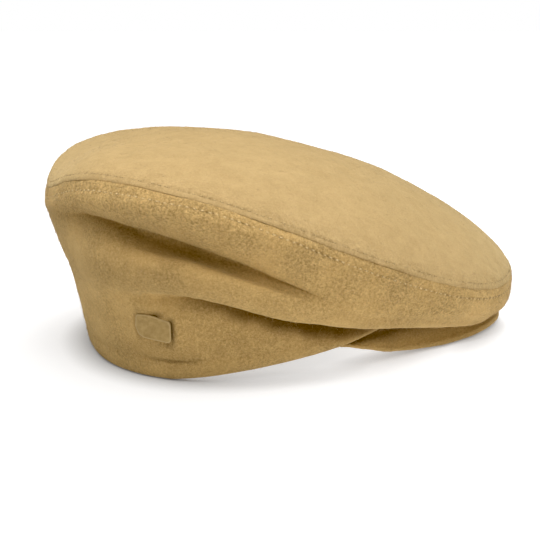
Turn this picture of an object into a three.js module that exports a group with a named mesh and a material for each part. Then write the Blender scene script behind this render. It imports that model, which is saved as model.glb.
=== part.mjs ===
// A flat cap in felted wool: a domed oval top panel sewn to a side panel that carries the head ring,
// a stiff cloth-covered peak under the front of the ring, and a small leather badge on the right side.
// Millimetres. +Z up, +X forward over the peak, +Y to the wearer's left. The origin is on the surface
// that the cap rests on, under the middle of its outline. The cap lies on the rear half of its rim and
// on the tip of its peak.
import * as THREE from "three";
import { mergeVertices } from "three/addons/utils/BufferGeometryUtils.js";

// ---------------------------------------------------------------- driving sizes
const CLOTH = 2.6; // wall of felted wool
const SEAM_GAP = 0.4; // clearance between the two panels at their seam

// Plan ovals, from the axis: back and front ends, half width, narrowing to the front, squareness.
const RIM = { back: -102.5, front: 89, half: 90.8, egg: 0.042, square: 0.025 };
const SEAM = { back: -124.3, front: 153, half: 110, egg: 0.036, square: 0.016 };

// The rim lies flat behind RIM_FLAT_FROM degrees and climbs towards the front.
const RIM_LIFT = 27.5;
const RIM_FLAT_FROM = 125;
const RIM_LIFT_POWER = 1.15;

// Lines round the side panel between the rim and the seam. Columns: the line's name, its place up the
// cloth (0 at the rim, 1 at the seam), whether the row is its height (up) or how far it stands out from
// the rim (out), then the value every 22.5 degrees from the middle of the front to the middle of the back.
const FOLD_LINES = [
  // line       place  column   0     22    45    67    90   112   135   157   180
  { line: "band", at: 0.14, up: [27.0, 26.0, 24.0, 20.0, 17.5, 17.0, 17.0, 17.0, 17.0],
                           out: [3.0, 3.0, 3.0, 4.0, 5.0, 5.0, 4.0, 4.0, 4.5] },
  { line: "crease", at: 0.28, up: [22.5, 22.0, 22.5, 26.0, 35.0, 46.5, 44.0, 38.0, 35.5],
                             out: [15.5, 14.0, 11.0, 9.5, 8.0, 7.5, 7.5, 7.5, 8.0] },
  { line: "lip", at: 0.39, up: [14.0, 15.2, 17.6, 25.0, 32.2, 45.4, 51.0, 50.0, 49.5],
                          out: [45.5, 42.0, 33.5, 25.5, 18.0, 13.0, 12.5, 12.0, 11.5] },
  { line: "belly", at: 0.52, up: [13.0, 15.0, 19.1, 29.5, 40.0, 59.0, 67.5, 67.5, 64.0],
                            out: [55.0, 50.5, 41.5, 32.5, 25.5, 21.2, 18.6, 17.2, 17.0] },
  { line: "valley", at: 0.66, up: [15.5, 18.2, 24.0, 33.0, 45.4, 66.6, 79.0, 84.5, 79.0],
                             out: [61.5, 56.5, 47.0, 36.5, 26.5, 11.5, 10.5, 16.0, 21.5] },
  { line: "roll", at: 0.82, up: [24.0, 25.5, 31.0, 42.5, 61.5, 83.0, 92.5, 91.0, 84.5],
                           out: [64.0, 60.5, 51.0, 40.0, 29.5, 23.0, 19.8, 20.8, 22.8] },
];
const SEAM_UP = [40.5, 39.0, 39.0, 51.5, 73.0, 94.5, 105.0, 102.0, 93.5];
const LEFT_CALM = 0.3; // share by which the two folds are shallower on the wearer's left

// Top panel: a soft membrane over the seam, a dome on it, and a rounded shoulder at its edge.
const TOP = { poleX: -8, dome: 36.5, tilt: 0.38, fullness: 1.95, shoulder: 13, shoulderPower: 6 };

// Peak: crescent plate from the ring's front edge down to its tip.
const PEAK = {
  thick: 4.2,
  thin: 1.8, // its thickness at its two ends
  halfAngle: 70.5, // degrees round the ring to each end
  tuck: 4.1, // how far its inner edge lies inside the rim
  drop: 0.5, // how far its top lies below the rim there
  fall: 1.5, // how much nearer the outer edge its arch is
};
// Under edge of the peak from its tip to its end, and how far the plate arches on the way there.
const PEAK_EDGE = [
  { forward: 154.5, sideways: 0, up: 3.0, arch: 0.5 },
  { forward: 149.5, sideways: 17.5, up: 2.8, arch: 0.8 },
  { forward: 137, sideways: 32.5, up: 2.2, arch: 1.5 },
  { forward: 120.5, sideways: 45, up: 1.2, arch: 2.3 },
  { forward: 104, sideways: 53, up: 0.6, arch: 3.0 },
  { forward: 87, sideways: 60.5, up: 1.0, arch: 3.2 },
  { forward: 71.5, sideways: 67, up: 2.6, arch: 2.8 },
  { forward: 58.5, sideways: 73, up: 4.2, arch: 2.0 },
  { forward: 47.5, sideways: 77.5, up: 7.2, arch: 1.2 },
  { forward: 38.5, sideways: 81.2, up: 10.0, arch: 0.5 },
  { forward: 32, sideways: 83.2, up: 12.4, arch: 0.0 },
];

// Badge: curved leather plate lying on the cloth.
const BADGE = { angle: -130.2, place: 0.2, lean: -12, thick: 1.4, gap: 0.4 };
// Its corners, clockwise, from its middle and before it leans.
const BADGE_EDGE = [
  { forward: 8.7, up: 4.9 },
  { forward: 10.1, up: 3.4 },
  { forward: 12, up: -5.2 },
  { forward: 10.9, up: -6.6 },
  { forward: -4.4, up: -7.6 },
  { forward: -7.4, up: -6.6 },
  { forward: -10.2, up: -2.4 },
  { forward: -10.9, up: 4.6 },
  { forward: -9.9, up: 5.9 },
  { forward: -3.5, up: 6.5 },
];

// How finely the walls are divided.
const AROUND = 72;
const WALL_ROWS = [0, 0.04, 0.09, 0.15, 0.21, 0.27, 0.32, 0.37, 0.42, 0.47, 0.52, 0.57, 0.62, 0.67, 0.73, 0.79, 0.86, 0.93, 1];
const TOP_ROWS = [0.22, 0.42, 0.6, 0.74, 0.85, 0.925, 0.97, 0.992, 1];

// ---------------------------------------------------------------- curves
const DEG = Math.PI / 180;
const clamp01 = (x) => Math.min(1, Math.max(0, x));
const ease = (x) => clamp01(x) ** 2 * (3 - 2 * clamp01(x));
const V = (x, y, z) => new THREE.Vector3(x, y, z);

// Point of a plan oval at angle a, shrunk to the share r of its size round the middle x.
function oval({ back, front, half, egg, square }, a, r = 1, midX = (front + back) / 2) {
  const q = square * r * r;
  return V(
    midX + ((front - back) / 2) * r * ((Math.cos(a) - q * Math.cos(3 * a)) / (1 - q)),
    half * r * ((Math.sin(a) + q * Math.sin(3 * a)) / (1 - q)) * (1 - egg * r * Math.cos(a)),
    0,
  );
}

// The even curve round the cap through values at equal steps from front to back.
function evenSeries(values) {
  const n = values.length - 1;
  return values.map((_, m) => {
    const sum = values.reduce(
      (s, v, j) => s + (j === 0 || j === n ? 0.5 : 1) * v * Math.cos((m * j * Math.PI) / n), 0);
    return ((m === 0 || m === n ? 1 : 2) / n) * sum;
  });
}
const evenAt = (series, a, r = 1) => series.reduce((s, c, m) => s + c * r ** m * Math.cos(m * a), 0);

const upSeries = FOLD_LINES.map((row) => evenSeries(row.up));
const outSeries = FOLD_LINES.map((row) => evenSeries(row.out));
const seamUp = evenSeries(SEAM_UP);

function rimUp(a) {
  const flat = Math.cos(RIM_FLAT_FROM * DEG);
  return RIM_LIFT * clamp01((Math.cos(a) - flat) / (1 - flat)) ** RIM_LIFT_POWER;
}

// Natural cubic spline through points at the given places.
function splineThrough(places, points) {
  const n = places.length;
  const h = places.slice(1).map((p, i) => p - places[i]);
  const bend = points.map(() => V(0, 0, 0)); // second derivatives
  const diag = new Array(n).fill(0);
  const right = points.map(() => V(0, 0, 0));
  for (let i = 1; i < n - 1; i++) {
    diag[i] = 2 * (h[i - 1] + h[i]);
    right[i].copy(points[i + 1]).sub(points[i]).divideScalar(h[i])
      .sub(points[i].clone().sub(points[i - 1]).divideScalar(h[i - 1])).multiplyScalar(6);
    if (i > 1) {
      const f = h[i - 1] / diag[i - 1];
      diag[i] -= f * h[i - 1];
      right[i].addScaledVector(right[i - 1], -f);
    }
  }
  for (let i = n - 2; i > 0; i--)
    bend[i].copy(right[i]).addScaledVector(bend[i + 1], i < n - 2 ? -h[i] : 0).divideScalar(diag[i]);
  return (t) => {
    let i = 0;
    while (i < n - 2 && t > places[i + 1]) i++;
    const u = (places[i + 1] - t) / h[i], w = 1 - u, hh = (h[i] * h[i]) / 6;
    return points[i].clone().multiplyScalar(u).addScaledVector(points[i + 1], w)
      .addScaledVector(bend[i], (u ** 3 - u) * hh).addScaledVector(bend[i + 1], (w ** 3 - w) * hh);
  };
}

// ---------------------------------------------------------------- the two cloth surfaces
// Outer face of the side panel at angle a: a function of the place up the cloth.
function sideSection(a) {
  const rim = oval(RIM, a), seam = oval(SEAM, a);
  const away = seam.clone().sub(rim).normalize();
  const calm = LEFT_CALM * Math.max(0, Math.sin(a)) ** 2;
  const out = outSeries.map((s) => evenAt(s, a));
  const up = upSeries.map((s) => evenAt(s, a));
  out[4] += calm * ((out[3] + out[5]) / 2 - out[4]);
  out[1] += calm * ((out[0] + out[2]) / 2 - out[1]);
  rim.z = rimUp(a);
  seam.z = evenAt(seamUp, a);
  const points = [rim, ...FOLD_LINES.map((_, i) => oval(RIM, a).addScaledVector(away, out[i]).setZ(up[i])), seam];
  return splineThrough([0, ...FOLD_LINES.map((row) => row.at), 1], points);
}
const sideAt = (a, t) => sideSection(a)(t);

// Outer face of the top panel: share r from its pole (0) to the seam (1) at angle a.
function topAt(a, r) {
  const middle = (SEAM.front + SEAM.back) / 2;
  const p = oval(SEAM, a, r, TOP.poleX + (middle - TOP.poleX) * r);
  const dome = TOP.dome * (1 - r ** TOP.fullness) * (1 + TOP.tilt * r * Math.cos(a));
  const shoulder = TOP.shoulder * Math.sqrt(Math.max(0, 1 - r ** TOP.shoulderPower));
  return p.setZ(evenAt(seamUp, a, r) + dome + shoulder);
}

// Outward normals, by small steps along the surface.
const STEP = 1e-3;
function normalOf(surface, a, t, outwards) {
  const t0 = Math.max(0, t - STEP), t1 = Math.min(1, t + STEP);
  const along = surface(a + STEP, t).sub(surface(a - STEP, t));
  return along.cross(surface(a, t1).sub(surface(a, t0))).multiplyScalar(outwards).normalize();
}
const sideNormal = (a, t) => normalOf(sideAt, a, t, 1);
const topNormal = (a, r) => normalOf(topAt, a, r, -1);

// The cut between the panels: which way its face runs through the cloth, and which way is up it.
function seamCut(a) {
  const through = sideNormal(a, 1).add(topNormal(a, 0.999)).normalize();
  const along = oval(SEAM, a + STEP).setZ(evenAt(seamUp, a + STEP))
    .sub(oval(SEAM, a - STEP).setZ(evenAt(seamUp, a - STEP))).normalize();
  return { through, up: through.clone().cross(along).normalize() };
}

// The way through the cloth at a place on the side panel. On the rim's flat stretch the hem's lower face
// is level, so there the way through is level too.
function throughSide(a, t) {
  if (t === 1) return seamCut(a).through;
  const n = sideNormal(a, t);
  const turned = Math.acos(Math.cos(a)) / DEG;
  const level = ease((turned - 95) / 25) * (1 - ease(t / 0.1));
  return n.setZ(n.z * (1 - level)).normalize();
}

// ---------------------------------------------------------------- meshes
// One closed body from rings of points: sections[i][j], each section a loop, joined in order. Where the
// run of sections is open its two end loops are capped by a fan round their own middle.
function bodyOf(sections, runCloses) {
  const pos = [], tri = [];
  const n = sections.length, m = sections[0].length;
  sections.forEach((s) => s.forEach((p) => pos.push(p.x, p.y, p.z)));
  for (let i = 0; i < (runCloses ? n : n - 1); i++)
    for (let j = 0; j < m; j++) {
      const a = i * m + j, b = i * m + ((j + 1) % m), c = ((i + 1) % n) * m + j, d = ((i + 1) % n) * m + ((j + 1) % m);
      tri.push(a, c, b, b, c, d);
    }
  if (!runCloses)
    for (const [i, side] of [[0, 1], [n - 1, -1]]) {
      const mid = sections[i].reduce((s, p) => s.add(p), V(0, 0, 0)).divideScalar(m);
      pos.push(mid.x, mid.y, mid.z);
      for (let j = 0; j < m; j++) {
        const a = i * m + j, b = i * m + ((j + 1) % m);
        tri.push(...(side > 0 ? [pos.length / 3 - 1, a, b] : [pos.length / 3 - 1, b, a]));
      }
    }
  let geometry = new THREE.BufferGeometry();
  geometry.setAttribute("position", new THREE.Float32BufferAttribute(pos, 3));
  geometry.setIndex(tri);
  geometry = mergeVertices(geometry, 1e-4);
  const keep = [], index = geometry.index.array; // triangles that shrank to a line at a pole are dropped
  for (let i = 0; i < index.length; i += 3) {
    const [a, b, c] = index.slice(i, i + 3);
    if (a !== b && b !== c && c !== a) keep.push(a, b, c);
  }
  // faces point out when the enclosed volume is positive
  const P = (i) => V().fromBufferAttribute(geometry.attributes.position, i);
  let volume = 0;
  for (let i = 0; i < keep.length; i += 3) volume += P(keep[i]).dot(P(keep[i + 1]).cross(P(keep[i + 2])));
  if (volume < 0) for (let i = 0; i < keep.length; i += 3) [keep[i + 1], keep[i + 2]] = [keep[i + 2], keep[i + 1]];
  geometry.setIndex(keep);
  geometry.computeVertexNormals();
  return geometry;
}

const angles = Array.from({ length: AROUND }, (_, i) => (i * 2 * Math.PI) / AROUND);

// Side panel: at each angle a section that runs up the outer face and down the inner one.
function sidePanel() {
  return bodyOf(angles.map((a) => {
    const section = sideSection(a), cut = seamCut(a);
    const outer = WALL_ROWS.map((t) => section(t));
    const inner = WALL_ROWS.map((t, i) => outer[i].clone().addScaledVector(throughSide(a, t), -CLOTH));
    for (const face of [outer, inner]) face[face.length - 1].addScaledVector(cut.up, -SEAM_GAP / 2);
    return [...outer, ...inner.reverse()];
  }), true);
}

// Top panel: at each angle a section from the pole out to the seam and back under.
function crownTop() {
  const pole = topAt(0, 0);
  const poleUnder = pole.clone().addScaledVector(topNormal(0, 0.01), -CLOTH);
  return bodyOf(angles.map((a) => {
    const cut = seamCut(a);
    const outer = TOP_ROWS.map((r) => topAt(a, r));
    const inner = TOP_ROWS.map((r, i) => outer[i].clone().addScaledVector(r === 1 ? cut.through : topNormal(a, r), -CLOTH));
    for (const face of [outer, inner]) face[face.length - 1].addScaledVector(cut.up, SEAM_GAP / 2);
    return [pole.clone(), ...outer, ...inner.reverse(), poleUnder.clone()];
  }), true);
}

// Peak: sections from the ring out to the oval edge, from one end of the crescent to the other.
function peak() {
  const RUN = 40;
  const ACROSS = [0, 0.3, 0.6, 0.85]; // shares of the way out, before the rounded edge
  const mirrored = PEAK_EDGE.slice(1).reverse().map((row) => ({ ...row, sideways: -row.sideways }));
  const whole = [...mirrored, ...PEAK_EDGE];
  const places = whole.map((_, i) => (2 * i) / (whole.length - 1) - 1);
  const edgeAt = splineThrough(places, whole.map((row) => V(row.forward, row.sideways, row.up)));
  const archAt = splineThrough(places, whole.map((row) => V(row.arch, 0, 0)));
  return bodyOf(Array.from({ length: RUN + 1 }, (_, i) => {
    const u = (2 * i) / RUN - 1;
    const a = u * PEAK.halfAngle * DEG;
    const inner = oval(RIM, a);
    const outwards = oval(RIM, a).sub(V((RIM.front + RIM.back) / 2, 0, 0)).normalize();
    inner.addScaledVector(outwards, -PEAK.tuck).setZ(rimUp(a) - PEAK.drop);
    const thick = PEAK.thick + (PEAK.thin - PEAK.thick) * ease((Math.abs(u) - 0.78) / 0.22);
    const outer = edgeAt(u).add(V(0, 0, thick));
    const arch = archAt(u).x;
    const way = outer.clone().sub(inner).setZ(0).normalize();
    const brink = outer.clone().addScaledVector(way, -thick / 2);
    const at = (v, down) => inner.clone().lerp(brink, v).add(V(0, 0, arch * 4 * v ** PEAK.fall * (1 - v ** PEAK.fall) - down));
    const edge = (share, down) => outer.clone().addScaledVector(way, -share * thick).add(V(0, 0, -down * thick));
    return [
      ...ACROSS.map((v) => at(v, 0)), edge(0.35, 0), edge(0.02, 0.3), edge(0.02, 0.7), edge(0.35, 1),
      ...ACROSS.toReversed().map((v) => at(v, thick)),
    ];
  }), false);
}

// Badge: rings of its outline laid on the cloth, from the middle of its face out over its edge
// and back under to the middle.
function badge() {
  const a0 = BADGE.angle * DEG, t0 = BADGE.place;
  const perAngle = sideAt(a0 + STEP, t0).sub(sideAt(a0 - STEP, t0)).length() / (2 * STEP);
  const perPlace = sideAt(a0, t0 + STEP).sub(sideAt(a0, t0 - STEP)).length() / (2 * STEP);
  const outline = new THREE.Path(BADGE_EDGE.map((c) => new THREE.Vector2(c.forward, c.up))).closePath().getSpacedPoints(32).slice(0, 32);
  const turn = BADGE.lean * DEG;
  const lay = (x, y, lift) => {
    const a = a0 + (x * Math.cos(turn) - y * Math.sin(turn)) / perAngle;
    const t = t0 + (x * Math.sin(turn) + y * Math.cos(turn)) / perPlace;
    return sideAt(a, t).addScaledVector(sideNormal(a, t), lift);
  };
  const low = BADGE.gap, top = BADGE.gap + BADGE.thick;
  const rings = [[0, top], [0.5, top], [0.94, top], [1, top - 0.4], [1, low], [0.5, low], [0, low]];
  return bodyOf(outline.map((p) => rings.map(([share, lift]) => lay(p.x * share, p.y * share, lift))), true);
}

// ---------------------------------------------------------------- the cap
const wool = (color) => new THREE.MeshStandardMaterial({ color, roughness: 0.95, metalness: 0 });
const cap = new THREE.Group();
const pieces = [
  ["crown_top", crownTop(), wool(0xc9a468)],
  ["side_panel", sidePanel(), wool(0xb58e50)],
  ["peak", peak(), wool(0xa88147)],
  ["badge", badge(), new THREE.MeshStandardMaterial({ color: 0xa18558, roughness: 0.6, metalness: 0 })],
];
for (const [name, geometry, material] of pieces) {
  const mesh = new THREE.Mesh(geometry, material);
  mesh.name = name;
  cap.add(mesh);
}
// the origin goes under the middle of the outline
const outline = new THREE.Box3().setFromObject(cap);
const middle = outline.getCenter(V(0, 0, 0));
cap.position.set(-middle.x, -middle.y, -outline.min.z);

export default cap;
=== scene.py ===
"""A felted-wool flat cap on a pale floor. The cap's four pieces are made here as fine meshes that stand for
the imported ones: top panel, side panel with its folds and hem, cloth-covered peak and leather badge, with the
rows of stitching beside the crown seam. Sizes below are in millimetres in the tables' own frame; to_world
turns them into metres in the row frame."""

import math

import bpy
import numpy as np
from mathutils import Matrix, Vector


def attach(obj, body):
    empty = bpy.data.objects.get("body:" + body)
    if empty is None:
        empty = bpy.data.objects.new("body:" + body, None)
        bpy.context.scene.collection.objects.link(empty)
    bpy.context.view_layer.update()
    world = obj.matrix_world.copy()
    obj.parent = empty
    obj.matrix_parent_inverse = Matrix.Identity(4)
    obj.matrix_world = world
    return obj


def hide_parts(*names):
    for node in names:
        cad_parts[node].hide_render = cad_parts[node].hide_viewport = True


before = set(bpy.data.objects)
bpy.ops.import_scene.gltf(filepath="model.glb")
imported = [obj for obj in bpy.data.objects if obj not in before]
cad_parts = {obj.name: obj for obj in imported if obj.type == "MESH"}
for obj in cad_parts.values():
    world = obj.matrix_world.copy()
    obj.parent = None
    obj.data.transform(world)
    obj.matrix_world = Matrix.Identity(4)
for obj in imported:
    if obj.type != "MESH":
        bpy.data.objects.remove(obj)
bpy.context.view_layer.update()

# ------------------------------------------------------------------ sizes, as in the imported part
CLOTH = 2.6
CENTRE = np.array([14.56, -0.105, 0.0])  # middle of the outline, from the axis of the tables
RIM = dict(back=-102.5, front=89.0, half=90.8, egg=0.042, square=0.025)
SEAM = dict(back=-124.3, front=153.0, half=110.0, egg=0.036, square=0.016)
RIM_LIFT, RIM_FLAT_FROM, RIM_LIFT_POWER = 27.5, 125.0, 1.15
LINES = ["band", "crease", "lip", "belly", "valley", "roll"]
AT = [0.0, 0.14, 0.28, 0.39, 0.52, 0.66, 0.82, 1.0]
#             0     22    45    67    90   112   135   157   180 degrees from the front
UP = dict(
    band=   (27.0, 26.0, 24.0, 20.0, 17.5, 17.0, 17.0, 17.0, 17.0),
    crease= (22.5, 22.0, 22.5, 26.0, 35.0, 46.5, 44.0, 38.0, 35.5),
    lip=    (14.0, 15.2, 17.6, 25.0, 32.2, 45.4, 51.0, 50.0, 49.5),
    belly=  (13.0, 15.0, 19.1, 29.5, 40.0, 59.0, 67.5, 67.5, 64.0),
    valley= (15.5, 18.2, 24.0, 33.0, 45.4, 66.6, 79.0, 84.5, 79.0),
    roll=   (24.0, 25.5, 31.0, 42.5, 61.5, 83.0, 92.5, 91.0, 84.5),
    seam=   (40.5, 39.0, 39.0, 51.5, 73.0, 94.5, 105.0, 102.0, 93.5),
)
OUT = dict(
    band=   (3.0, 3.0, 3.0, 4.0, 5.0, 5.0, 4.0, 4.0, 4.5),
    crease= (15.5, 14.0, 11.0, 9.5, 8.0, 7.5, 7.5, 7.5, 8.0),
    lip=    (45.5, 42.0, 33.5, 25.5, 18.0, 13.0, 12.5, 12.0, 11.5),
    belly=  (55.0, 50.5, 41.5, 32.5, 25.5, 21.2, 18.6, 17.2, 17.0),
    valley= (61.5, 56.5, 47.0, 36.5, 26.5, 12.5, 11.5, 16.5, 21.5),
    roll=   (64.0, 60.5, 51.0, 40.0, 29.5, 23.0, 19.8, 20.8, 22.8),
)
LEFT_CALM = 0.3
TOP = dict(pole_x=-8.0, dome=36.5, tilt=0.38, fullness=1.95, shoulder=13.0, shoulder_power=6)
PEAK = dict(thick=4.2, thin=1.8, half_angle=70.5, tuck=4.1, drop=0.5, fall=1.5, hem=3.0, hem_thick=1.3)
# Under edge of the peak from its tip to its end: forward, sideways, up; then how far its middle arches there.
PEAK_EDGE = (
    (154.5, 0.0, 3.0, 0.5),
    (149.5, 17.5, 2.8, 0.8),
    (137.0, 32.5, 2.2, 1.5),
    (120.5, 45.0, 1.2, 2.3),
    (104.0, 53.0, 0.6, 3.0),
    (87.0, 60.5, 1.0, 3.2),
    (71.5, 67.0, 2.6, 2.8),
    (58.5, 73.0, 4.2, 2.0),
    (47.5, 77.5, 7.2, 1.2),
    (38.5, 81.2, 10.0, 0.5),
    (32.0, 83.2, 12.4, 0.0),
)
BADGE = dict(angle=-130.2, place=0.200, lean=-12.0, thick=1.4, gap=0.35, lip=2.4)
# The badge's corners, clockwise: mm forward and mm up from its middle, before it leans.
BADGE_EDGE = ((8.7, 4.9), (10.1, 3.4), (12.0, -5.2), (10.9, -6.6), (-4.4, -7.6), (-7.4, -6.6), (-10.2, -2.4), (-10.9, 4.6),
              (-9.9, 5.9), (-3.5, 6.5))

# Pinched creases: which place up the panel they follow, how far they reach in and up under the cloth above, how wide
# they are, and how deep at each angle. On the left side they are softer.
FOLD_ANGLES = (-172, -162, -152, -142, -130, -118, -108, -98, -90, -82, -74, -64, -54, -44)
# dark, dark_wide and dark_soft set the painted shade in and below each crease: how strong, how far below it reaches
# and how soft its lower edge is.
FOLDS = dict(
    upper=dict(at=(0.66,) * 14, wide=2.3, rise=2.4, pinch=1.2, dark=0.06, dark_wide=3.0, dark_soft=2.4,
               deep=(0.0, 0.0, 3.0, 6.0, 7.3, 7.5, 7.5, 5.2, 0.0, 0.0, 0.0, 0.0, 0.0, 0.0)),
    lower=dict(at=(0.28, 0.28, 0.28, 0.28, 0.28, 0.275, 0.255, 0.242, 0.235, 0.228, 0.222, 0.22, 0.22, 0.22),
               wide=2.8, rise=1.0, pinch=0.8, dark=0.8, dark_wide=5.6, dark_soft=4.6,
               deep=(0.0, 0.0, 0.0, 0.0, 0.0, 2.2, 7.0, 8.2, 8.2, 8.2, 7.6, 6.0, 3.5, 0.0)),
)
LEFT_FOLD = 0.5

# Looks only: seam, stitching and hem.
SEAM_LOOK = dict(groove=0.10, groove_wide=0.7, fill_wide=2.4, fill_most=1.3, pillow=0.12, pillow_at=3.0, pillow_wide=2.0)
STITCH = dict(pitch=3.6, long=2.5, thick=0.74)
ROWS = dict(side=dict(off=5.4, dip=0.38), top=dict(off=3.6, dip=0.22))
HEM = dict(high=11.8, dip=0.55, wide=1.4)

# Camera, in the tables' frame: turned to the back, above the floor, distance and what it looks at.
CAMERA = dict(azimuth=12.86, elevation=13.27, distance=629.6, focal_px=1036.1, target=(5.95, 0.0, 37.72))

# Light: the overhead soft light's strength and width, where it hangs and what it looks at, and how bright the sky is;
# then the weaker soft light on the near side.
LIGHT = dict(power=9.0, size=0.62, place=(-0.16, -0.14, 0.98), aim=(0.0, 0.0, 0.05), sky=0.27)
FILL = dict(power=2.5, size=0.62, place=(0.0, -0.65, 0.75), aim=(0.0, 0.0, 0.05))
# The floor glows as well as reflecting; its glow is lower round the cap and darkened by occlusion close to it:
# painted shadow on the floor.
FLOOR = dict(colour=0.36, glow=0.57, far_glow=1.08, near=0.05, far=0.28, middle=(-0.125, -0.06, 0.0), painted_shadow_reach=0.018)

BLACK = 0.020  # the picture's black point

AROUND = 560

# ------------------------------------------------------------------ curves
def even_series(values):
    v = np.array(values, float)
    n = len(v) - 1
    w = np.ones(n + 1)
    w[0] = w[-1] = 0.5
    m = np.arange(n + 1)
    c = 2 / n * (np.cos(np.outer(m, m) * np.pi / n) @ (w * v))
    c[0] /= 2
    c[-1] /= 2
    return c


def even_at(c, a, r=1.0):
    m = np.arange(len(c))
    a, r = np.broadcast_arrays(np.asarray(a, float), np.asarray(r, float))
    return (c * r[..., None] ** m * np.cos(a[..., None] * m)).sum(-1)


def oval(o, a, r=1.0, mid=None):
    mid = (o["front"] + o["back"]) / 2 if mid is None else mid
    q = o["square"] * r * r
    x = mid + (o["front"] - o["back"]) / 2 * r * (np.cos(a) - q * np.cos(3 * a)) / (1 - q)
    y = o["half"] * r * (np.sin(a) + q * np.sin(3 * a)) / (1 - q) * (1 - o["egg"] * r * np.cos(a))
    return np.stack(np.broadcast_arrays(x, y), -1)


def rim_up(a):
    flat = math.cos(math.radians(RIM_FLAT_FROM))
    return RIM_LIFT * np.clip((np.cos(a) - flat) / (1 - flat), 0, 1) ** RIM_LIFT_POWER


def spline_weights(places, t):
    """Row i holds what each of the given places adds to the natural cubic spline at t[i]."""
    k = np.array(places, float)
    n, h = len(k), np.diff(k)
    A, B = np.eye(n), np.zeros((n, n))
    for i in range(1, n - 1):
        A[i, i - 1 : i + 2] = h[i - 1], 2 * (h[i - 1] + h[i]), h[i]
        B[i, i - 1 : i + 2] = 6 / h[i - 1], -6 / h[i - 1] - 6 / h[i], 6 / h[i]
    bend = np.linalg.solve(A, B)
    i = np.clip(np.searchsorted(k, t, side="right") - 1, 0, n - 2)
    u = (k[i + 1] - t) / h[i]
    w = 1 - u
    eye, hh = np.eye(n), (h[i] ** 2 / 6)[:, None]
    return (u[:, None] * eye[i] + w[:, None] * eye[i + 1]
            + ((u**3 - u)[:, None] * bend[i] + (w**3 - w)[:, None] * bend[i + 1]) * hh)


UPS = {k: even_series(v) for k, v in UP.items()}
OUTS = {k: even_series(v) for k, v in OUT.items()}


def side_lines(a):
    """The eight lines of the side panel at angles a: array (8, len(a), 3)."""
    rim, seam = oval(RIM, a), oval(SEAM, a)
    away = seam - rim
    away /= np.linalg.norm(away, axis=-1, keepdims=True)
    calm = LEFT_CALM * np.maximum(0, np.sin(a)) ** 2
    out = {k: even_at(OUTS[k], a) for k in LINES}
    out["valley"] = out["valley"] + calm * ((out["belly"] + out["roll"]) / 2 - out["valley"])
    out["crease"] = out["crease"] + calm * ((out["band"] + out["lip"]) / 2 - out["crease"])
    rows = [np.c_[rim, rim_up(a)]]
    rows += [np.c_[rim + away * out[k][:, None], even_at(UPS[k], a)] for k in LINES]
    rows += [np.c_[seam, even_at(UPS["seam"], a)]]
    return np.stack(rows)


def side_surface(a, t):
    """Outer face of the side panel: array (len(t), len(a), 3)."""
    return np.einsum("tj,jac->tac", spline_weights(AT, t), side_lines(a))


def top_surface(a, r):
    """Outer face of the top panel: array (len(r), len(a), 3)."""
    A, R = np.meshgrid(a, r)
    middle = (SEAM["front"] + SEAM["back"]) / 2
    p = oval(SEAM, A, R, TOP["pole_x"] + (middle - TOP["pole_x"]) * R)
    dome = TOP["dome"] * (1 - R ** TOP["fullness"]) * (1 + TOP["tilt"] * R * np.cos(A))
    shoulder = TOP["shoulder"] * np.sqrt(np.maximum(0, 1 - R ** TOP["shoulder_power"]))
    return np.concatenate([p, (even_at(UPS["seam"], A, R) + dome + shoulder)[..., None]], -1)


def unit(v):
    return v / np.maximum(np.linalg.norm(v, axis=-1, keepdims=True), 1e-12)


def grid_normals(G, flip=1.0):
    """Normals of a grid (rows, around, 3) that closes on itself around."""
    along = np.roll(G, -1, 1) - np.roll(G, 1, 1)
    up = np.empty_like(G)
    up[1:-1] = G[2:] - G[:-2]
    up[0], up[-1] = G[1] - G[0], G[-1] - G[-2]
    return unit(np.cross(along, up)) * flip


def up_normals(G):
    """Normals of a grid, turned so that those of its first row point up."""
    n = grid_normals(G)
    return n if n[0, :, 2].mean() > 0 else -n


def arc_up(G):
    """Distance up each column of a grid from its first row."""
    d = np.linalg.norm(np.diff(G, axis=0), axis=-1)
    return np.concatenate([np.zeros((1, G.shape[1])), np.cumsum(d, 0)])


def noise(p, size, seed, waves=40):
    """Smooth noise, about -1 to 1, with features of about the given size in mm."""
    rng = np.random.default_rng(seed)
    k = unit(rng.normal(size=(waves, 3))) * (2 * np.pi / size) * rng.uniform(0.6, 1.4, (waves, 1))
    ph = rng.uniform(0, 2 * np.pi, waves)
    flat = p.reshape(-1, 3)
    out = np.zeros(len(flat))
    for i in range(waves):
        out += np.cos(flat @ k[i] + ph[i])
    return (out / math.sqrt(waves)).reshape(p.shape[:-1])


def bump(x, at, wide):
    return np.exp(-(((x - at) / wide) ** 2))


def fold_deep(fold, a):
    """Depth of a fold at angles a, in radians."""
    deg = np.degrees(np.arctan2(np.sin(a), np.cos(a)))
    deep = np.interp(-np.abs(deg), FOLD_ANGLES, fold["deep"])
    soft = 0.25 * (np.interp(-np.abs(deg) - 4, FOLD_ANGLES, fold["deep"]) + np.interp(-np.abs(deg) + 4, FOLD_ANGLES, fold["deep"]) + 2 * deep)
    return soft * (1 - (1 - LEFT_FOLD) * np.clip(np.sin(a) * 3 + 0.5, 0, 1))


def fold_line(fold, arc, a, t):
    """Distance up each column at which a fold lies."""
    deg = np.degrees(np.arctan2(np.sin(a), np.cos(a)))
    at = np.interp(-np.abs(deg), FOLD_ANGLES, fold["at"])
    return np.array([np.interp(at[j], t, arc[:, j]) for j in range(arc.shape[1])])[None]


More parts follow.
